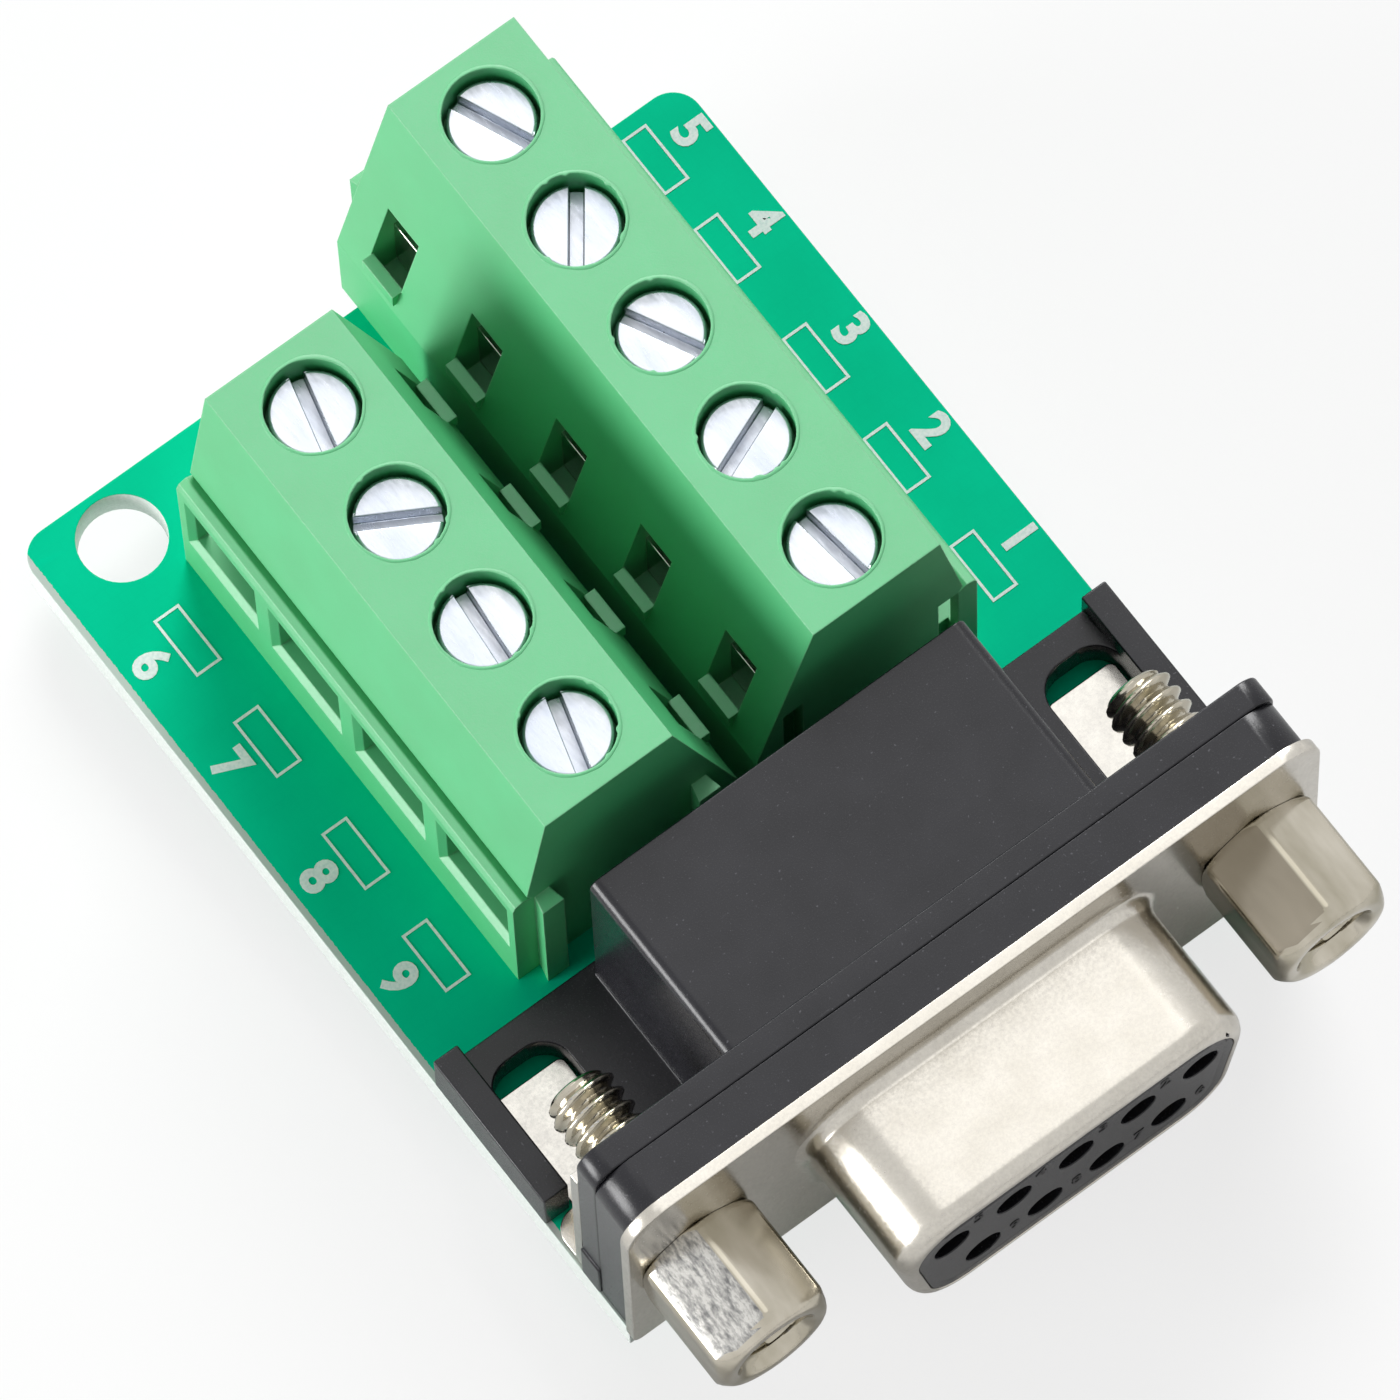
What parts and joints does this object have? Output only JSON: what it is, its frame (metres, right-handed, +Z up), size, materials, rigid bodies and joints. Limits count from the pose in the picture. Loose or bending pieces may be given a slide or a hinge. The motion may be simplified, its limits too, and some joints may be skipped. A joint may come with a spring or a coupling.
{
  "type": "d-sub terminal block adapter",
  "caption": "D-sub socket on a small green circuit board with two rows of screw terminals, jackscrews and a corner fixing hole.",
  "frame": {"origin": "under the middle of the part, level with the tips of the solder pins", "axes": "+Y from the D connector to the rear of the board, +X to the side of the longer terminal block, +Z up from the board"},
  "size_m": [0.0308, 0.0458, 0.0176],
  "materials": {
    "solder_mask_green": "glossy solder mask over glass-fibre board",
    "green_polyamide": "matte moulded",
    "black_plastic": "fine matte moulded",
    "nickel_plate": "bright nickel plating",
    "zinc_plate": "bright zinc plating",
    "tin_plate": "tin-plated copper alloy",
    "contact_gold": "flash-plated copper alloy"
  },
  "bodies": {
    "adapter": {"circuit_board": "solder_mask_green", "terminal_block_5way": "green_polyamide", "terminal_block_4way": "green_polyamide", "contact_strip_1": "tin_plate", "contact_strip_2": "tin_plate", "contact_strip_3": "tin_plate", "contact_strip_4": "tin_plate", "contact_strip_5": "tin_plate", "contact_strip_6": "tin_plate", "contact_strip_7": "tin_plate", "contact_strip_8": "tin_plate", "contact_strip_9": "tin_plate", "connector_shell": "nickel_plate", "contact_insulator": "black_plastic", "rear_housing": "black_plastic", "socket_contact_1": "contact_gold", "socket_contact_2": "contact_gold", "socket_contact_3": "contact_gold", "socket_contact_4": "contact_gold", "socket_contact_5": "contact_gold", "socket_contact_6": "contact_gold", "socket_contact_7": "contact_gold", "socket_contact_8": "contact_gold", "socket_contact_9": "contact_gold", "grounding_bracket_left": "tin_plate", "jackscrew_left": "nickel_plate", "grounding_bracket_right": "tin_plate", "jackscrew_right": "nickel_plate"},
    "terminal_screw_1": {"terminal_screw_1": "zinc_plate"},
    "clamp_cage_1": {"clamp_cage_1": "nickel_plate"},
    "terminal_screw_2": {"terminal_screw_2": "zinc_plate"},
    "clamp_cage_2": {"clamp_cage_2": "nickel_plate"},
    "terminal_screw_3": {"terminal_screw_3": "zinc_plate"},
    "clamp_cage_3": {"clamp_cage_3": "nickel_plate"},
    "terminal_screw_4": {"terminal_screw_4": "zinc_plate"},
    "clamp_cage_4": {"clamp_cage_4": "nickel_plate"},
    "terminal_screw_5": {"terminal_screw_5": "zinc_plate"},
    "clamp_cage_5": {"clamp_cage_5": "nickel_plate"},
    "terminal_screw_6": {"terminal_screw_6": "zinc_plate"},
    "clamp_cage_6": {"clamp_cage_6": "nickel_plate"},
    "terminal_screw_7": {"terminal_screw_7": "zinc_plate"},
    "clamp_cage_7": {"clamp_cage_7": "nickel_plate"},
    "terminal_screw_8": {"terminal_screw_8": "zinc_plate"},
    "clamp_cage_8": {"clamp_cage_8": "nickel_plate"},
    "terminal_screw_9": {"terminal_screw_9": "zinc_plate"},
    "clamp_cage_9": {"clamp_cage_9": "nickel_plate"}
  },
  "joints": [
    {"name": "screw_1_turn", "type": "hinge", "parent": "adapter", "child": "terminal_screw_1", "pos_m": [0.00587, -0.00065, 0.0155], "axis": [0, 0, 1], "range_deg": [-1584, 0]},
    {"name": "cage_1_lift", "type": "slide", "parent": "adapter", "child": "clamp_cage_1", "axis": [0, 0, 1], "range_m": [0, 0.0022]},
    {"name": "screw_2_turn", "type": "hinge", "parent": "adapter", "child": "terminal_screw_2", "pos_m": [0.00587, 0.00443, 0.0155], "axis": [0, 0, 1], "range_deg": [-1584, 0]},
    {"name": "cage_2_lift", "type": "slide", "parent": "adapter", "child": "clamp_cage_2", "axis": [0, 0, 1], "range_m": [0, 0.0022]},
    {"name": "screw_3_turn", "type": "hinge", "parent": "adapter", "child": "terminal_screw_3", "pos_m": [0.00587, 0.0095, 0.0155], "axis": [0, 0, 1], "range_deg": [-1584, 0]},
    {"name": "cage_3_lift", "type": "slide", "parent": "adapter", "child": "clamp_cage_3", "axis": [0, 0, 1], "range_m": [0, 0.0022]},
    {"name": "screw_4_turn", "type": "hinge", "parent": "adapter", "child": "terminal_screw_4", "pos_m": [0.00587, 0.01459, 0.0155], "axis": [0, 0, 1], "range_deg": [-1584, 0]},
    {"name": "cage_4_lift", "type": "slide", "parent": "adapter", "child": "clamp_cage_4", "axis": [0, 0, 1], "range_m": [0, 0.0022]},
    {"name": "screw_5_turn", "type": "hinge", "parent": "adapter", "child": "terminal_screw_5", "pos_m": [0.00587, 0.01966, 0.0155], "axis": [0, 0, 1], "range_deg": [-1584, 0]},
    {"name": "cage_5_lift", "type": "slide", "parent": "adapter", "child": "clamp_cage_5", "axis": [0, 0, 1], "range_m": [0, 0.0022]},
    {"name": "screw_6_turn", "type": "hinge", "parent": "adapter", "child": "terminal_screw_6", "pos_m": [-0.00587, 0.01459, 0.0155], "axis": [0, 0, 1], "range_deg": [-1584, 0]},
    {"name": "cage_6_lift", "type": "slide", "parent": "adapter", "child": "clamp_cage_6", "axis": [0, 0, 1], "range_m": [0, 0.0022]},
    {"name": "screw_7_turn", "type": "hinge", "parent": "adapter", "child": "terminal_screw_7", "pos_m": [-0.00587, 0.0095, 0.0155], "axis": [0, 0, 1], "range_deg": [-1584, 0]},
    {"name": "cage_7_lift", "type": "slide", "parent": "adapter", "child": "clamp_cage_7", "axis": [0, 0, 1], "range_m": [0, 0.0022]},
    {"name": "screw_8_turn", "type": "hinge", "parent": "adapter", "child": "terminal_screw_8", "pos_m": [-0.00587, 0.00443, 0.0155], "axis": [0, 0, 1], "range_deg": [-1584, 0]},
    {"name": "cage_8_lift", "type": "slide", "parent": "adapter", "child": "clamp_cage_8", "axis": [0, 0, 1], "range_m": [0, 0.0022]},
    {"name": "screw_9_turn", "type": "hinge", "parent": "adapter", "child": "terminal_screw_9", "pos_m": [-0.00587, -0.00065, 0.0155], "axis": [0, 0, 1], "range_deg": [-1584, 0]},
    {"name": "cage_9_lift", "type": "slide", "parent": "adapter", "child": "clamp_cage_9", "axis": [0, 0, 1], "range_m": [0, 0.0022]}
  ],
  "couplings": [
    {"joint": "screw_1_turn", "follows": "cage_1_lift", "rad_per_m": -12566},
    {"joint": "screw_2_turn", "follows": "cage_2_lift", "rad_per_m": -12566},
    {"joint": "screw_3_turn", "follows": "cage_3_lift", "rad_per_m": -12566},
    {"joint": "screw_4_turn", "follows": "cage_4_lift", "rad_per_m": -12566},
    {"joint": "screw_5_turn", "follows": "cage_5_lift", "rad_per_m": -12566},
    {"joint": "screw_6_turn", "follows": "cage_6_lift", "rad_per_m": -12566},
    {"joint": "screw_7_turn", "follows": "cage_7_lift", "rad_per_m": -12566},
    {"joint": "screw_8_turn", "follows": "cage_8_lift", "rad_per_m": -12566},
    {"joint": "screw_9_turn", "follows": "cage_9_lift", "rad_per_m": -12566}
  ]
}
